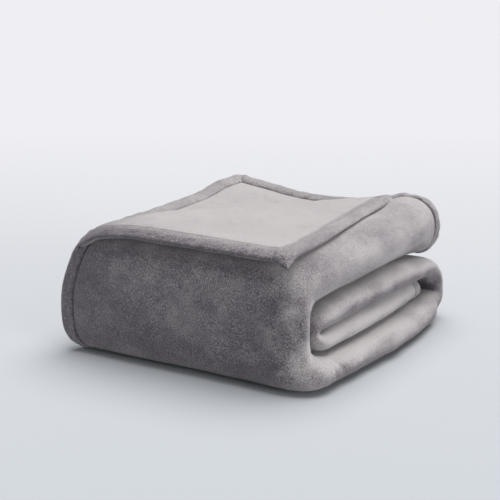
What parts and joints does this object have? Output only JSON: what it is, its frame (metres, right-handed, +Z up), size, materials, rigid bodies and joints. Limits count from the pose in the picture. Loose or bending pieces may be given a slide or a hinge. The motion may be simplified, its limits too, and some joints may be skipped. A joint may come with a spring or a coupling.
{
  "type": "folded throw blanket",
  "caption": "Plush throw folded to four plies and rolled into a block, with one hemmed corner turned back over the top.",
  "frame": {"origin": "centre of the folded block on the surface that it rests on", "axes": "+X from the hemmed end towards the rounded folds, +Y from the front to the back, +Z up"},
  "size_m": [0.334, 0.358, 0.158],
  "materials": {
    "plush": "soft warm-grey plush pile with a slight sheen",
    "plush_hem": "the same plush, turned over and sewn as a rolled hem",
    "hem_thread": "matt grey polyester sewing thread"
  },
  "bodies": {
    "inner_roll": {"middle_run_outer_plies": "plush", "middle_run_inner_plies": "plush", "middle_run_hem": "plush_hem", "front_fold_outer_plies": "plush", "front_fold_inner_plies": "plush", "front_fold_hem": "plush_hem", "upper_run_outer_plies": "plush", "upper_run_inner_plies": "plush", "upper_run_hem": "plush_hem", "back_fold_outer_plies": "plush", "back_fold_inner_plies": "plush", "back_fold_hem": "plush_hem", "bottom_run_outer_plies": "plush", "bottom_run_inner_plies": "plush", "bottom_run_hem": "plush_hem", "inner_end_hem": "plush_hem", "inner_end_inner_hem": "plush_hem"},
    "front_cover": {"front_cover_outer_plies": "plush", "front_cover_inner_plies": "plush", "front_cover_hem": "plush_hem", "front_cover_hem_stitching": "hem_thread"},
    "top_cover": {"top_cover_outer_plies": "plush", "top_cover_inner_plies": "plush", "top_cover_hem": "plush_hem", "shoulder_hem": "plush_hem", "shoulder_hem_stitching": "hem_thread", "second_ply_left_hem": "plush_hem", "second_ply_left_stitching": "hem_thread", "second_ply_back_hem": "plush_hem", "second_ply_back_stitching": "hem_thread"},
    "corner_flap": {"corner_flap_panel": "plush", "corner_flap_front_hem": "plush_hem", "corner_flap_front_stitching": "hem_thread", "corner_flap_side_hem": "plush_hem", "corner_flap_side_stitching": "hem_thread"}
  },
  "joints": [
    {"name": "front_cover_opens", "type": "hinge", "parent": "inner_roll", "child": "front_cover", "pos_m": [0, -0.179, 0], "axis": [1, 0, 0], "range_deg": [0, 90]},
    {"name": "top_cover_lifts", "type": "hinge", "parent": "front_cover", "child": "top_cover", "pos_m": [0, -0.179, 0.1485], "axis": [1, 0, 0], "range_deg": [0, 90]},
    {"name": "corner_unfolds", "type": "hinge", "parent": "top_cover", "child": "corner_flap", "pos_m": [-0.15, -0.172, 0.14865], "axis": [-0.5961, -0.8029, 0], "range_deg": [0, 170]}
  ]
}
